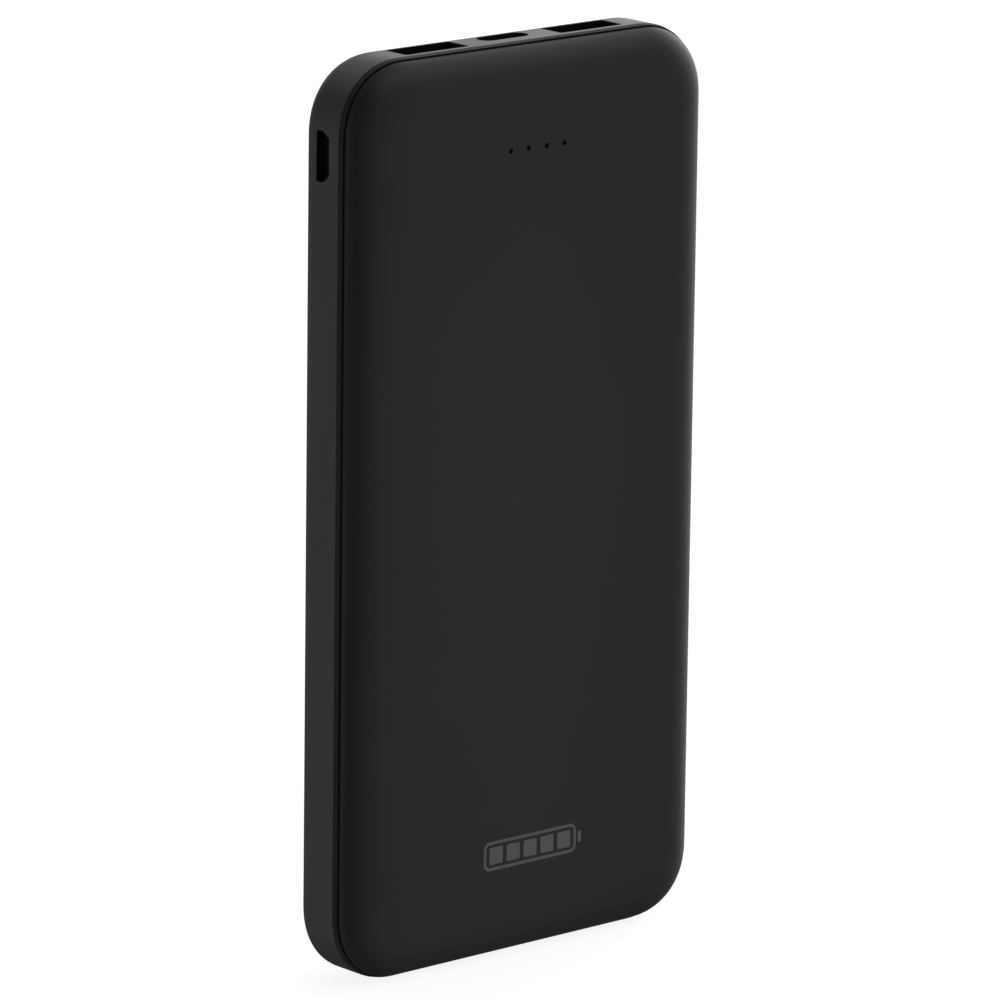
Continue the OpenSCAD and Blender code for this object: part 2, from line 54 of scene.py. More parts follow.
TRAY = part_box("back_shell")
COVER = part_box("front_cover")
HALF_W = (TRAY[1].x - TRAY[0].x) / 2
HEIGHT = TRAY[1].z - TRAY[0].z
FRONT = -COVER[0].y                  # depth counts towards the front, so depth = -y
BACK = -TRAY[1].y
PARTING = -TRAY[0].y                 # the tray's front edge
TONGUE_END = -COVER[1].y
COVER_INSET = COVER[0].x - TRAY[0].x

# ---- Sizes of the shells ----

CORNER_R = 12.07 * MM                # superellipse corners: softer than a circle of the same reach
CORNER_POWER = 2.18
CORNER_STEPS = 20
LONG_STEPS = 28
SHORT_STEPS = 12
CURVE_STEPS = 22
WALL = 1.5 * MM
FACE = 1.4 * MM
BACK_RISE = 3.6 * MM
BACK_RUN = 4.9 * MM
FRONT_RISE = 4.75 * MM
FRONT_RUN = 9.5 * MM
FACE_POWER = 2.5                     # how gently the cover's edge settles on its flat face; 2 is an ellipse
RIM_POWER = 1.8                      # how square the edge leaves the cover's rim
INNER_RUN_LESS = 1.3 * MM
LIP_DEPTH = 0.92 * MM
LIP_LEAN = 0.2 * MM
LIP_LAND = 0.08 * MM
GROOVE_DEPTH = 0.36 * MM
GROOVE_UNDER = 0.15 * MM             # how far the groove runs on under the cover's rim
SEAT = PARTING + 0.02 * MM
TONGUE_INSET = WALL + 0.15 * MM
TONGUE_T = 1.1 * MM
SNAP_ROWS = (24 * MM, 60 * MM, 96 * MM)
SNAP_COLS = (-24 * MM, 24 * MM)
SNAP_LEN = 6 * MM
SNAP_OUT = 0.35 * MM
SNAP_Z = 1.6 * MM
SNAP_H = 0.8 * MM
RIB_ROWS = (34 * MM, 70 * MM, 106 * MM)
RIB_T = 1 * MM
CROSS_RIB_HALF = 33 * MM
LEFT_SCREW_Z = 126.8 * MM
FLARE = 0.18 * MM                    # small flare round every port's edge
USB_A_SLOT = (12.7 * MM, 4.8 * MM)
USB_A_SLOT_R = 0.45 * MM
USB_C_SLOT = (9.5 * MM, 3.3 * MM)
MICRO_USB_SLOT = (7.9 * MM, 2.7 * MM)
BUTTON_SLOT = (10.2 * MM, 3.4 * MM)
SATIN, LIP_SHADE, PORT_SHADE = 0, 1, 2           # the back shell's material slots; the lip's and the port walls' slots carry painted shade


# ---- Mesh helpers ----

def middle(node):
    """Centre of a CAD node's box."""
    low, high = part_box(node)
    return (low + high) / 2


def outline(inset):
    """Points (x, z) round the body at an inset, with superellipse corners."""
    cx, cz, r = HALF_W - CORNER_R, HEIGHT / 2 - CORNER_R, CORNER_R - inset
    corner = []
    for i in range(CORNER_STEPS + 1):
        angle = math.pi / 2 * i / CORNER_STEPS
        corner.append((cx + r * math.cos(angle) ** (2 / CORNER_POWER),
                       cz + r * math.sin(angle) ** (2 / CORNER_POWER)))
    quarters = [corner, [(-x, z) for x, z in reversed(corner)],
                [(-x, -z) for x, z in corner], [(x, -z) for x, z in reversed(corner)]]
    points = []
    for k, quarter in enumerate(quarters):
        points += quarter
        start, end = quarter[-1], quarters[(k + 1) % 4][0]
        run, rise = end[0] - start[0], end[1] - start[1]
        steps = SHORT_STEPS if k % 2 == 0 else LONG_STEPS
        points += [(start[0] + run * i / steps, start[1] + rise * i / steps) for i in range(1, steps)]
    return [(x, z + HEIGHT / 2) for x, z in points]


def quarter_curve(inset, depth, run, rise, face_power=2.0, rim_power=2.0):
    """Quarter round of (inset, depth) points from a side wall to a face; rise < 0 turns to the back."""
    angles = [math.pi / 2 * i / CURVE_STEPS for i in range(CURVE_STEPS + 1)]
    return [(inset + run * (1 - max(math.cos(a), 0) ** (2 / face_power)),
             depth + rise * math.sin(a) ** (2 / rim_power)) for a in angles]


def soften(points, radius, steps=3):
    """Rounds every corner of a profile with a small curve; the two ends stay."""
    result = [points[0]]
    for before, here, after in zip(points, points[1:], points[2:]):
        here = Vector(here)
        a, b = Vector(before) - here, Vector(after) - here
        reach = min(radius, a.length * 0.4, b.length * 0.4)
        start, end = here + a.normalized() * reach, here + b.normalized() * reach
        for i in range(steps + 1):
            t = i / steps
            result.append(tuple(start * (1 - t) ** 2 + here * 2 * t * (1 - t) + end * t ** 2))
    return result + [points[-1]]


def loft(name, rings):
    """Closed mesh from rings of 3D points with the same count; the first and last rings are capped."""
    bm = bmesh.new()
    loops = [[bm.verts.new(p) for p in ring] for ring in rings]
    count = len(loops[0])
    for low, high in zip(loops, loops[1:]):
        for i in range(count):
            j = (i + 1) % count
            bm.faces.new((low[i], low[j], high[j], high[i]))
    bm.faces.new(loops[0])
    bm.faces.new(loops[-1])
    bmesh.ops.recalc_face_normals(bm, faces=bm.faces)
    return to_object(name, bm)


def to_object(name, bm):
    """Turns a bmesh into an object of the scene."""
    mesh = bpy.data.meshes.new(name)
    bm.to_mesh(mesh)
    bm.free()
    obj = bpy.data.objects.new(name, mesh)
    bpy.context.scene.collection.objects.link(obj)
    return obj


def casing_loft(name, profile):
    """Loft with the body's outline through (inset, depth) points."""
    return loft(name, [[(x, -depth, z) for x, z in outline(inset)] for inset, depth in profile])


def combine(target, tool, operation):
    """Adds or cuts one mesh and removes the tool."""
    modifier = target.modifiers.new("combine", "BOOLEAN")
    modifier.operation = operation
    modifier.solver = "EXACT"
    modifier.object = tool
    graph = bpy.context.evaluated_depsgraph_get()
    result = bpy.data.meshes.new_from_object(target.evaluated_get(graph))
    target.modifiers.clear()
    old = target.data
    target.data = result
    bpy.data.meshes.remove(old)
    bpy.data.objects.remove(tool)


def join_meshes(name, objects):
    """One object that holds several meshes as separate closed islands."""
    bm = bmesh.new()
    for obj in objects:
        bm.from_mesh(obj.data)
        bpy.data.objects.remove(obj)
    return to_object(name, bm)


def smooth(obj, angle=32):
    """Smooth shading that keeps creases sharper than the angle, with flat areas kept flat."""
    for polygon in obj.data.polygons:
        polygon.use_smooth = True
    obj.data.set_sharp_from_angle(angle=math.radians(angle))
    modifier = obj.modifiers.new("weighted", "WEIGHTED_NORMAL")
    modifier.keep_sharp = True
    return obj


def rounded_rect(w, h, r, steps=8):
    """Outline of a rectangle with round corners, as (u, v) points."""
    points = []
    for k, (su, sv) in enumerate(((1, 1), (-1, 1), (-1, -1), (1, -1))):
        for i in range(steps + 1):
            a = math.pi / 2 * (k + i / steps)
            points.append((su * (w / 2 - r) + r * math.cos(a), sv * (h / 2 - r) + r * math.sin(a)))
    return points


def stadium(w, t, steps=14):
    """Outline with round ends, longest along u."""
    return rounded_rect(w, t, t / 2 - 1e-6, steps)


def micro_port(w, t):
    """Outline of a micro-USB port: two corners on its front side are cut off."""
    cut_u = t * 0.36
    cut_v = 1.4 * cut_u
    corner_r = 0.25 * MM
    corners = [(-w / 2, -t / 2), (w / 2, -t / 2), (w / 2, t / 2 - cut_v), (w / 2 - cut_u, t / 2),
               (cut_u - w / 2, t / 2), (-w / 2, t / 2 - cut_v)]
    closed = [corners[-1]] + corners + [corners[0]]
    return soften(closed, corner_r, 4)[1:-1]


def usb_a_port(w, t):
    return rounded_rect(w, t, USB_A_SLOT_R)


def mouth_cutter(shape, w, t, place, near, far):
    """Cutter for a port: straight from far to the surface at near, with a small flare at the edge."""
    step = FLARE if near > far else -FLARE
    bend = 0.3                           # at 0.3 of its depth, 0.3 of the flare's width is left
    levels = [(far, 0), (near - step, 0), (near - step * bend, FLARE * bend), (near, FLARE),
              (near + 4 * step, FLARE)]
    cutter = loft("cutter", [[place(u, v, level) for u, v in shape(w + 2 * grow, t + 2 * grow)]
                             for level, grow in levels])
    # The walls cut by this tool take the port slot: painted shade inside the opening.
    for polygon in cutter.data.polygons:
        polygon.material_index = PORT_SHADE
    return cutter


# ---- Shells ----

def snap_wedges():
    """Ten snap hooks that stand out of the cover's tongue."""
    section = ((-TONGUE_T / 2, 0), (0, 0), (SNAP_OUT, SNAP_H / 2), (SNAP_OUT, SNAP_H * 0.7),
               (0, SNAP_H), (-TONGUE_T / 2, SNAP_H))
    wedges = []

    def wedge(place):
        ends = [[place(u - TONGUE_INSET, tip * SNAP_LEN / 2, SNAP_Z + d) for u, d in section]
                for tip in (-1, 1)]
        wedges.append(loft("wedge", ends))

    for side in (-1, 1):
        for row in SNAP_ROWS:
            wedge(lambda out, along, depth: (side * (HALF_W + out), -depth, row + along))
        for col in SNAP_COLS:
            end = HEIGHT if side > 0 else 0
            wedge(lambda out, along, depth: (col + along, -depth, end + side * out))
    return join_meshes("wedges", wedges)


def pinholes():
    """Round cutters with a small countersink for the four charge lights."""
    low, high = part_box("charge_leds")
    count = 4
    led_w = 1.6 * MM
    hole_r = 0.43 * MM
    sink = 0.04 * MM
    z = (low.z + high.z) / 2
    xs = [low.x + led_w / 2 + (high.x - low.x - led_w) * i / (count - 1) for i in range(count)]
    turns = [2 * math.pi * i / 32 for i in range(32)]
    levels = ((FRONT - FACE - MM, hole_r), (FRONT - sink, hole_r),
              (FRONT, hole_r + sink), (FRONT + MM, hole_r + sink))
    holes = []
    for x in xs:
        rings = [[(x + r * math.cos(a), -depth, z + r * math.sin(a)) for a in turns] for depth, r in levels]
        holes.append(loft("hole", rings))
    return join_meshes("holes", holes)


def build_front_cover():
    """Pillow-shaped cover with its tongue, snap hooks and pinholes."""
    base = FRONT - FRONT_RISE
    clear = 0.1 * MM
    edge_r = 0.08 * MM
    powers = (FACE_POWER, RIM_POWER)
    outer = [(COVER_INSET, SEAT)] + quarter_curve(COVER_INSET, base, FRONT_RUN, FRONT_RISE, *powers)
    inner = quarter_curve(COVER_INSET + WALL, base, FRONT_RUN - INNER_RUN_LESS, FRONT_RISE - FACE, *powers)
    tongue_in = TONGUE_INSET + TONGUE_T
    inside = [p for p in inner if p[0] > tongue_in + clear]
    under = soften([(tongue_in, inside[0][1] - clear), (tongue_in, TONGUE_END), (TONGUE_INSET, TONGUE_END),
                    (TONGUE_INSET, SEAT), (COVER_INSET, SEAT), outer[1]], edge_r)
    profile = list(reversed(inside)) + under + outer[2:]
    cover = casing_loft("front_cover_shell", profile)
    combine(cover, snap_wedges(), "UNION")
    combine(cover, pinholes(), "DIFFERENCE")
    return smooth(cover)


def tray_ribs_and_bosses():
    """Ribs beside the cells, a cross rib below the board and the three screw bosses."""
    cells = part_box("back_cell")
    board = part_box("main_circuit_board")
    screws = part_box("board_screws")
    floor = BACK + FACE - 0.05 * MM      # just inside the tray's face, so that the ribs join it
    board_back, inner_x = -board[1].y, HALF_W - WALL
    gap, bite = 0.3 * MM, 0.3 * MM       # clear of the cell and the cover, and sunk into the wall
    board_gap = 0.2 * MM
    cross_rib_below = 1.5 * MM
    head_r, boss_r, hole_r = 1.5 * MM, 2.1 * MM, 0.75 * MM
    hole_floor, boss_bite = 0.5 * MM, 0.15 * MM
    pieces = []

    def bar(x0, x1, z0, z1, depth0, depth1):
        ends = [[(x, -d, z) for x, z in ((x0, z0), (x1, z0), (x1, z1), (x0, z1))] for d in (depth0, depth1)]
        pieces.append(loft("bar", ends))

    for side in (-1, 1):
        for z in RIB_ROWS:
            bar(side * (cells[1].x + gap), side * (inner_x + bite), z - RIB_T / 2, z + RIB_T / 2,
                floor, TONGUE_END - gap)
    cross_z = board[0].z - cross_rib_below
    bar(-CROSS_RIB_HALF, CROSS_RIB_HALF, cross_z, cross_z + RIB_T, floor, board_back - board_gap)
    spots = ((screws[0].x + head_r, LEFT_SCREW_Z), (screws[1].x - head_r, screws[0].z + head_r),
             (0, screws[1].z - head_r))
    turns = [2 * math.pi * i / 40 for i in range(40)]
    for x, z in spots:
        profile = ((hole_r, floor + hole_floor), (hole_r, board_back),
                   (boss_r, board_back), (boss_r, floor - boss_bite))
        rings = [[(x + r * math.cos(a), -d, z + r * math.sin(a)) for a in turns] for r, d in profile]
        pieces.append(loft("boss", rings))
    return join_meshes("ribs", pieces)


def port_cutters():
    """Openings for the two USB-A ports, the USB-C port, the micro-USB port and the button."""
    deep = 3 * WALL

    def in_top(node, shape, size):
        c = middle(node)
        return mouth_cutter(shape, *size, lambda u, v, z: (c.x + u, c.y + v, z), HEIGHT, HEIGHT - deep)

    def in_side(node, shape, size, side):
        c = middle(node)
        return mouth_cutter(shape, *size, lambda u, v, x: (x, c.y + side * v, c.z + u),
                            side * HALF_W, side * (HALF_W - deep))

    return [in_top("usb_a_left_shell", usb_a_port, USB_A_SLOT),
            in_top("usb_a_right_shell", usb_a_port, USB_A_SLOT),
            in_top("usb_c_shell", stadium, USB_C_SLOT),
            in_side("micro_usb_shell", micro_port, MICRO_USB_SLOT, -1),
            in_side("power_button", stadium, BUTTON_SLOT, 1)]


def mark_lip(tray):
    """Gives the slanted lip and the groove in front of the side band their own material slot, whose darker
    colour paints shade into the parting line.
    """
    lip_start = PARTING - LIP_DEPTH + 0.02 * MM
    for polygon in tray.data.polygons:
        if -polygon.center.y > lip_start:
            polygon.material_index = LIP_SHADE


def build_back_shell():
    """Tray with the side band, lip, groove, ribs, bosses and port openings."""
    edge_r = 0.06 * MM
    back_curve = list(reversed(quarter_curve(0, BACK + BACK_RISE, BACK_RUN, -BACK_RISE)))
    inner_curve = quarter_curve(WALL, BACK + BACK_RISE, BACK_RUN - INNER_RUN_LESS, FACE - BACK_RISE)
    groove_inset = LIP_LEAN + LIP_LAND
    groove_end = COVER_INSET + GROOVE_UNDER
    rim = soften([back_curve[-1], (0, PARTING - LIP_DEPTH), (LIP_LEAN, PARTING), (groove_inset, PARTING),
                  (groove_inset, PARTING - GROOVE_DEPTH), (groove_end, PARTING - GROOVE_DEPTH),
                  (groove_end, PARTING), (WALL, PARTING), inner_curve[0]], edge_r)
    tray = casing_loft("back_shell_tray", back_curve + rim[1:] + inner_curve[1:])
    for _ in (SATIN, LIP_SHADE, PORT_SHADE):
        tray.data.materials.append(None)
    mark_lip(tray)
    combine(tray, tray_ribs_and_bosses(), "UNION")
    for cutter in port_cutters():
        combine(tray, cutter, "DIFFERENCE")
    return smooth(tray)


def build_button():
    """Cap with a softly rounded edge, its flange behind the wall and the rib that meets the switch."""
    low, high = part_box("power_button")
    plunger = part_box("switch_plunger")
    c = middle("power_button")
    flange_out, flange_t, behind_wall, bite = 0.8 * MM, 0.5 * MM, 0.1 * MM, 0.1 * MM
    edge, crown, crown_run = 0.35 * MM, 0.05 * MM, 0.8 * MM
    edge_steps = 6
    cap_w, cap_t = high.z - low.z - 2 * flange_out, high.y - low.y - 2 * flange_out
    flange_x0 = HALF_W - WALL - behind_wall - flange_t
    flange_x1 = flange_x0 + flange_t
    levels = [(flange_x0, flange_out), (flange_x1, flange_out), (flange_x1, 0)]
    for i in range(edge_steps + 1):
        a = math.pi / 2 * i / edge_steps
        levels.append((high.x - crown - edge * (1 - math.sin(a)), -edge * (1 - math.cos(a))))
    levels.append((high.x, -edge - crown_run))
    rings = [[(x, c.y + v, c.z + u) for u, v in stadium(cap_w + 2 * grow, cap_t + 2 * grow)]
             for x, grow in levels]
    cap = loft("power_button_cap", rings)
    ends = [[(x, y, z) for y, z in ((plunger[0].y, plunger[0].z), (plunger[1].y, plunger[0].z),
                                    (plunger[1].y, plunger[1].z), (plunger[0].y, plunger[1].z))]
            for x in (low.x, flange_x0 + bite)]
    combine(cap, loft("rib", ends), "UNION")
    return smooth(cap)


# ---- Materials ----

class Shader:
    """Small wrapper that builds a node material around one Principled BSDF."""

    def __init__(self, name):
        self.material = bpy.data.materials.new(name)
        self.material.use_nodes = True
        self.nodes = self.material.node_tree.nodes
        self.links = self.material.node_tree.links
        self.bsdf = next(n for n in self.nodes if n.type == "BSDF_PRINCIPLED")
        coords = self.nodes.new("ShaderNodeTexCoord")
        self.place = coords.outputs["Object"]
        self.normal = None

    def link(self, source, node, socket):
        if isinstance(source, (int, float)):
            node.inputs[socket].default_value = source
        else:
            self.links.new(source, node.inputs[socket])

    def noise(self, per_mm, detail=2, stretch=(1, 1, 1)):
        """Fine noise with the given number of grains in a millimetre."""
        mapping = self.nodes.new("ShaderNodeMapping")
        mapping.inputs["Scale"].default_value = stretch
        self.links.new(self.place, mapping.inputs["Vector"])
        node = self.nodes.new("ShaderNodeTexNoise")
        node.inputs["Scale"].default_value = per_mm / MM
        node.inputs["Detail"].default_value = detail
        self.links.new(mapping.outputs["Vector"], node.inputs["Vector"])
        return node.outputs["Fac"]

    def specks(self, per_mm, radius):
        """Sparse round dots: 1 inside a dot and 0 outside. radius is a share of the spacing."""
        node = self.nodes.new("ShaderNodeTexVoronoi")
        node.inputs["Scale"].default_value = per_mm / MM
        self.links.new(self.place, node.inputs["Vector"])
        return self.range(node.outputs["Distance"], radius * 0.6, radius, 1, 0)

    def fade(self, centre, reach):
        """1 at a centre that falls evenly to 0 at the given reach along each axis."""
        mapping = self.nodes.new("ShaderNodeMapping")
        mapping.vector_type = "POINT"
        mapping.inputs["Scale"].default_value = [1 / r for r in reach]
        mapping.inputs["Location"].default_value = [-c / r for c, r in zip(centre, reach)]
        self.links.new(self.place, mapping.inputs["Vector"])
        node = self.nodes.new("ShaderNodeTexGradient")
        node.gradient_type = "SPHERICAL"
        self.links.new(mapping.outputs["Vector"], node.inputs["Vector"])
        return node.outputs["Fac"]

    def range(self, value, from_low, from_high, to_low, to_high):
        node = self.nodes.new("ShaderNodeMapRange")
        self.link(value, node, "Value")
        for socket, number in (("From Min", from_low), ("From Max", from_high), ("To Min", to_low),
                               ("To Max", to_high)):
            node.inputs[socket].default_value = number
        return node.outputs["Result"]

    def mix(self, factor, first, second):
        """Blends two colours, given as (r, g, b) or as a socket."""
        node = self.nodes.new("ShaderNodeMix")
        node.data_type = "RGBA"
        self.link(factor, node, "Factor")
        for value, socket in ((first, node.inputs[6]), (second, node.inputs[7])):
            if isinstance(value, tuple):
                socket.default_value = (*value, 1)
            else:
                self.links.new(value, socket)
        return node.outputs[2]

    def bump(self, height, distance, strength=1.0):
        """Adds a bump layer of the given depth in metres on top of the earlier ones."""
        node = self.nodes.new("ShaderNodeBump")
        node.inputs["Distance"].default_value = distance
        node.inputs["Strength"].default_value = strength
        self.links.new(height, node.inputs["Height"])
        if self.normal:
            self.links.new(self.normal, node.inputs["Normal"])
        self.normal = node.outputs["Normal"]

    def finish(self, color, roughness, metallic=0.0, **others):
        if isinstance(color, tuple):
            self.bsdf.inputs["Base Color"].default_value = (*color, 1)
        else:
            self.links.new(color, self.bsdf.inputs["Base Color"])
        self.link(roughness, self.bsdf, "Roughness")
        self.link(metallic, self.bsdf, "Metallic")
        for socket, value in others.items():
            self.link(value, self.bsdf, socket.replace("_", " "))
        if self.normal:
            self.links.new(self.normal, self.bsdf.inputs["Normal"])
        return self.material


def grained(name, color, rough, grain_per_mm=5, depth=0.004 * MM, spread=0.12, **others):
    """Moulded or coated surface: fine grain in the bump, slow drift in colour and roughness."""
    shader = Shader(name)
    drift = shader.noise(0.06, 3)
    grain = shader.noise(grain_per_mm, 3)
    darker = tuple(c * (1 - spread) for c in color)
    lighter = tuple(c * (1 + spread) for c in color)
    shader.bump(grain, depth)
    tone = shader.mix(drift, darker, lighter)
    return shader.finish(tone, shader.range(drift, 0.3, 0.7, rough - 0.03, rough + 0.03), **others)


def soft_touch():
    """Rubberised coating: very fine grain, slow sheen drift, a few specks of dust and a painted sheen that
    makes the face lighter towards its middle and darker at its rims.
    """
    shader = Shader("soft_touch_black")
    drift = shader.noise(0.05, 4)
    grain = shader.noise(7, 3)
    dust = shader.specks(0.11, 0.022)
    shader.bump(grain, 0.004 * MM)
    # Painted sheen: the colour is lighter in the middle of the face and darker towards its rims, in place
    # of the lights' soft highlight.
    painted_sheen = shader.fade((-4 * MM, 0, HEIGHT / 2), (36 * MM, 1, 90 * MM))
    tone = shader.mix(painted_sheen, (0.0085, 0.0085, 0.0088), (0.023, 0.023, 0.0233))
    tone = shader.mix(dust, tone, (0.05, 0.05, 0.05))
    return shader.finish(tone, shader.range(drift, 0.3, 0.7, 0.53, 0.57))


def satin():
    """Satin moulding of the band and back: spark-eroded grain, slightly glossier than the cover."""
    shader = Shader("satin_black")
    drift = shader.noise(0.05, 3)
    grain = shader.noise(9, 2)
    shader.bump(grain, 0.003 * MM)
    tone = shader.mix(drift, (0.018, 0.018, 0.0185), (0.022, 0.022, 0.0225))
    return shader.finish(tone, shader.range(drift, 0.3, 0.7, 0.31, 0.37))


def metal(name, color, rough, stretch=(1, 1, 12)):
    """Pressed or plated metal with fine drawing lines along one axis."""
    shader = Shader(name)
    lines = shader.noise(3, 2, stretch)
    shader.bump(lines, 0.003 * MM)
    tone = shader.mix(lines, tuple(c * 0.85 for c in color), color)
    return shader.finish(tone, shader.range(lines, 0.3, 0.7, rough - 0.05, rough + 0.08), 1.0)


def circuit_board():
    """Solder mask with faint copper tracks and small plated holes."""
    shader = Shader("green_board")
    track = shader.nodes.new("ShaderNodeTexBrick")
    track.inputs["Scale"].default_value = 1 / (6 * MM)
    track.inputs["Mortar Size"].default_value = 0.03
    track.inputs["Color1"].default_value = (0.012, 0.11, 0.05, 1)
    track.inputs["Color2"].default_value = (0.015, 0.13, 0.06, 1)
    track.inputs["Mortar"].default_value = (0.03, 0.2, 0.09, 1)
    turn = shader.nodes.new("ShaderNodeMapping")
    turn.inputs["Rotation"].default_value = (math.pi / 2, 0, 0)
    shader.links.new(shader.place, turn.inputs["Vector"])
    shader.links.new(turn.outputs["Vector"], track.inputs["Vector"])
    vias = shader.specks(0.45, 0.12)
    tone = shader.mix(vias, track.outputs["Color"], (0.55, 0.42, 0.18))
    shader.bump(shader.noise(4), 0.004 * MM)
    return shader.finish(tone, 0.32)


def pouch_foil():
    """Laminated foil with soft dents and fine wrinkles."""
    shader = Shader("pouch_foil")
    dents = shader.noise(0.12, 3)
    wrinkles = shader.noise(1.6, 3, (1, 1, 0.3))
    shader.bump(dents, 0.25 * MM, 0.5)
    shader.bump(wrinkles, 0.02 * MM)
    tone = shader.mix(dents, (0.42, 0.44, 0.47), (0.56, 0.58, 0.61))
    return shader.finish(tone, shader.range(wrinkles, 0.3, 0.7, 0.28, 0.42), 0.85)


def foam():
    """Open foam: round cells sunk into the surface, painted darker inside as shade."""
    shader = Shader("black_foam")
    cells = shader.specks(2.2, 0.5)
    shader.bump(cells, -0.08 * MM)
    # Painted shade: the sunk cells are darker than the foam round them.
    return shader.finish(shader.mix(cells, (0.03, 0.03, 0.031), (0.012, 0.012, 0.012)), 0.95)


def clear_acrylic():
    """Slightly wavy, half clear acrylic."""
    shader = Shader("clear_acrylic")
    flow = shader.noise(0.5, 2)
    shader.bump(flow, 0.01 * MM)
    tone = shader.mix(flow, (0.72, 0.76, 0.78), (0.8, 0.84, 0.86))
    return shader.finish(tone, 0.12, Transmission_Weight=0.6, IOR=1.49)


def make_materials():
    """One material for each of the record's slots, and two darker, duller copies of the satin that paint
    shade on the back shell's lip and port walls.
    """
    return {
        # Darker, rougher, less glossy copy of the satin for the lip and groove: the darker colour is
        # painted shade of the parting line, the roughness a duller finish.
        "lip_painted_shade": grained("lip_painted_shade", (0.015, 0.015, 0.0153), 0.6, 9, 0.003 * MM,
                             Specular_IOR_Level=0.3),
        # Near-black copy of the moulding for the port walls: painted shade inside the openings.
        "port_painted_shade": grained("port_painted_shade", (0.003, 0.003, 0.003), 0.6, 9, 0.003 * MM,
                              Specular_IOR_Level=0.15),
        "soft_touch_black": soft_touch(),
        "satin_black": satin(),
        "grey_ink": grained("grey_ink", (0.15, 0.15, 0.151), 0.55, 10, 0.002 * MM, 0.06),
        "clear_acrylic": clear_acrylic(),
        "white_led": grained("white_led", (0.82, 0.78, 0.6), 0.35, 4),
        "green_board": circuit_board(),
        "black_moulding": grained("black_moulding", (0.016, 0.016, 0.017), 0.42, 6, 0.006 * MM),
        "white_moulding": grained("white_moulding", (0.7, 0.68, 0.62), 0.45, 4),
        "ferrite": grained("ferrite", (0.07, 0.07, 0.074), 0.62, 8, 0.02 * MM, 0.25),
        "chip_resin": grained("chip_resin", (0.022, 0.022, 0.024), 0.55, 10, 0.006 * MM),
        "capacitor_ceramic": grained("capacitor_ceramic", (0.36, 0.24, 0.13), 0.4, 5),
        "zinc_steel": metal("zinc_steel", (0.6, 0.6, 0.61), 0.3),
        "port_steel": metal("port_steel", (0.5, 0.51, 0.53), 0.34),
        "gold_contact": metal("gold_contact", (0.83, 0.6, 0.22), 0.22),
        "pouch_foil": pouch_foil(),
        "nickel_strip": metal("nickel_strip", (0.64, 0.62, 0.57), 0.32),
        "insulating_card": grained("insulating_card", (0.6, 0.56, 0.42), 0.85, 3, 0.02 * MM, 0.1),
        "red_wire": grained("red_wire", (0.42, 0.012, 0.012), 0.5, 6),
        "black_wire": grained("black_wire", (0.013, 0.013, 0.014), 0.5, 6),
        "white_tape": grained("white_tape", (0.7, 0.67, 0.56), 0.7, 2.5, 0.015 * MM, 0.06),
        "black_foam": foam(),
    }


def dress(obj, *materials):
    """Fills the object's material slots in order and adds the missing ones."""
    slots = obj.data.materials
    for i, material in enumerate(materials):
        if i < len(slots):
            slots[i] = material
        else:
            slots.append(material)


def dress_cad_nodes(materials):
    """Gives every CAD node the material of its slot in the record."""
    slots = {part["node"]: part["material_slot"] for part in frame["record"]["subparts"]}
    for name, obj in frame["nodes"].items():
        for slot in obj.material_slots:
            slot.material = materials[slots[name]]
        if not obj.material_slots:
            obj.data.materials.append(materials[slots[name]])


# ---- Stage, light and camera ----

CAMERA_AZIMUTH = math.radians(-41.43)      # 0 looks along +Y
CAMERA_ELEVATION = math.radians(13.565)
CAMERA_ROLL = math.radians(0.751)
CAMERA_DISTANCE = 1.2125
CAMERA_TARGET = Vector((-0.00112, 0, 0.07378))
CAMERA_LENS = 274.75

# Soft light painted round the object: (azimuth, elevation, sharpness, level).
# Azimuth 0 is behind the object and 90 is +X.
AMBIENT = 0.02
SOFT_LIGHTS = ((72, 11, 12, 4),            # strong, from the right
               (10, 39, 7, 0.6),           # broad and high, from behind
               (150, 61, 25, 2.5),         # high in front, on the right
               (167, -18, 3, 0.6),         # very broad fill from the front
               (-49, -17, 4, 0.5))         # broad fill from the left, behind

FLOOR_HALF = 6                       # metres
FLOOR_GLOW = (0.88, 0.88, 0.88, 1)


def add_camera():
    """Camera that looks at its target from the given azimuth and elevation, with a slight roll."""
    az, el = CAMERA_AZIMUTH, CAMERA_ELEVATION
    back = Vector((math.sin(az) * math.cos(el), -math.cos(az) * math.cos(el), math.sin(el)))
    right = Vector((0, 0, 1)).cross(back).normalized()
    up = back.cross(right)
    rolled_right = right * math.cos(CAMERA_ROLL) + up * math.sin(CAMERA_ROLL)
    rolled_up = up * math.cos(CAMERA_ROLL) - right * math.sin(CAMERA_ROLL)
    data = bpy.data.cameras.new("camera")
    data.lens = CAMERA_LENS
    data.sensor_width = 36
    camera = bpy.data.objects.new("camera", data)
    place = CAMERA_TARGET + back * CAMERA_DISTANCE
    camera.matrix_world = Matrix(((rolled_right.x, rolled_up.x, back.x, place.x),
                                  (rolled_right.y, rolled_up.y, back.y, place.y),
                                  (rolled_right.z, rolled_up.z, back.z, place.z), (0, 0, 0, 1)))
    bpy.context.scene.collection.objects.link(camera)
    bpy.context.scene.camera = camera


def add_floor():
    """A wide pale floor under the object."""
    bm = bmesh.new()
    bmesh.ops.create_grid(bm, x_segments=1, y_segments=1, size=FLOOR_HALF)
    floor = to_object("floor", bm)
    shader = Shader("pale_floor")
    tone = shader.mix(shader.noise(0.01, 2), (0.33, 0.33, 0.33), (0.35, 0.35, 0.35))
    shader.bsdf.inputs["Emission Color"].default_value = FLOOR_GLOW
    dress(floor, shader.finish(tone, 0.9, Emission_Strength=1.0))
    floor.visible_glossy = False
    floor.visible_diffuse = False


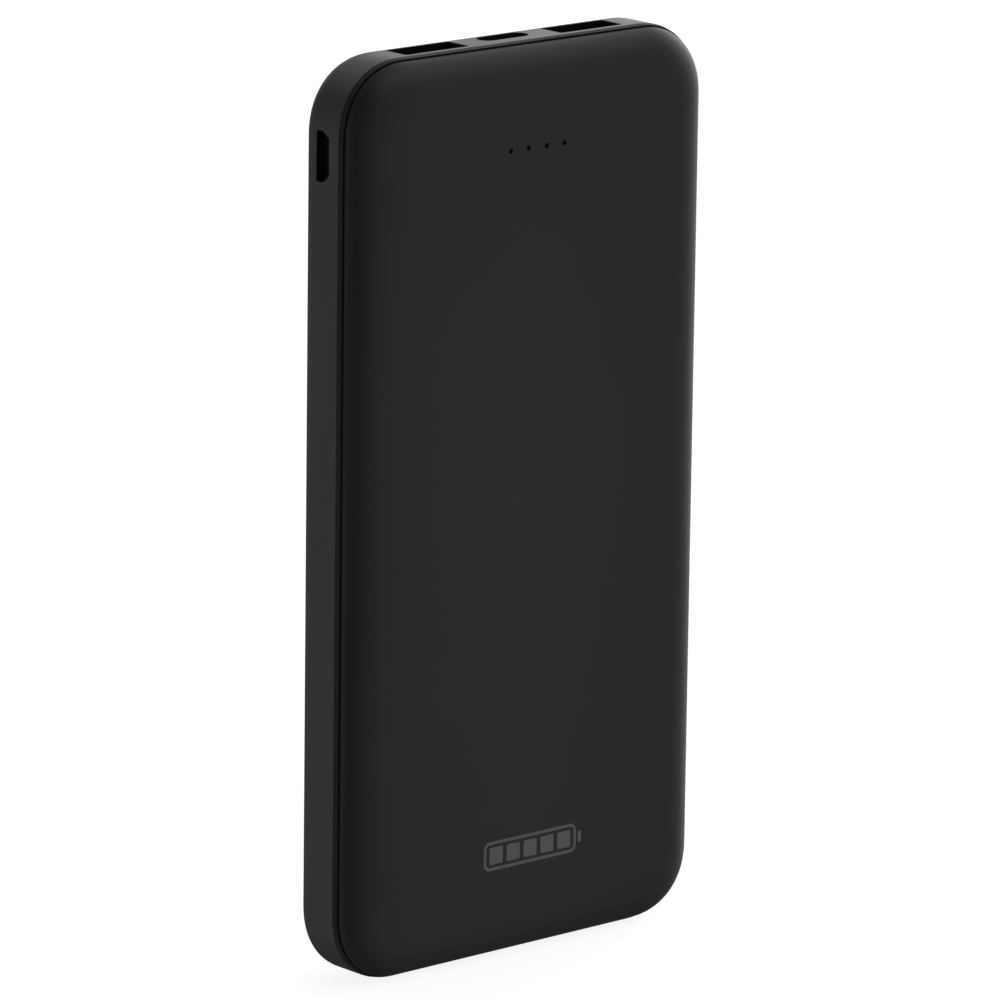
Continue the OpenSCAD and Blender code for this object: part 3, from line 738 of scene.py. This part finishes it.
def add_world():
    """White to the camera; round the object, a dim room with a few broad soft lights."""
    world = bpy.data.worlds.new("studio")
    bpy.context.scene.world = world
    world.use_nodes = True
    nodes, links = world.node_tree.nodes, world.node_tree.links
    nodes.clear()
    direction = nodes.new("ShaderNodeTexCoord").outputs["Generated"]

    def math_node(operation, *values):
        node = nodes.new("ShaderNodeMath")
        node.operation = operation
        for value, socket in zip(values, node.inputs):
            if isinstance(value, (int, float)):
                socket.default_value = value
            else:
                links.new(value, socket)
        return node.outputs["Value"]

    total = AMBIENT
    for azimuth, elevation, sharpness, level in SOFT_LIGHTS:
        az, el = math.radians(azimuth), math.radians(elevation)
        facing = nodes.new("ShaderNodeVectorMath")
        facing.operation = "DOT_PRODUCT"
        facing.inputs[1].default_value = (math.sin(az) * math.cos(el), math.cos(az) * math.cos(el),
                                          math.sin(el))
        links.new(direction, facing.inputs[0])
        falloff = math_node("MULTIPLY_ADD", facing.outputs["Value"], sharpness, -sharpness)
        total = math_node("MULTIPLY_ADD", math_node("EXPONENT", falloff), level, total)
    camera_ray = nodes.new("ShaderNodeLightPath").outputs["Is Camera Ray"]
    unseen = math_node("SUBTRACT", 1.0, camera_ray)
    strength = math_node("MULTIPLY_ADD", total, unseen, camera_ray)
    background = nodes.new("ShaderNodeBackground")
    background.inputs["Color"].default_value = (1, 1, 1, 1)
    links.new(strength, background.inputs["Strength"])
    output = nodes.new("ShaderNodeOutputWorld")
    links.new(background.outputs["Background"], output.inputs["Surface"])


def build_stage():
    add_world()
    add_floor()
    add_camera()
    bpy.context.scene.view_settings.view_transform = "Standard"


# ---- Assembly ----

def main():
    materials = make_materials()
    dress_cad_nodes(materials)
    builders = (("front_cover", build_front_cover, "casing", ("soft_touch_black",)),
                ("back_shell", build_back_shell, "casing", ("satin_black", "lip_painted_shade", "port_painted_shade")),
                ("power_button", build_button, "button", ("satin_black",)))
    for node, build, body, slots in builders:
        piece = build()
        dress(piece, *(materials[slot] for slot in slots))
        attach(piece, body)
        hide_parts(node)
    build_stage()


main()
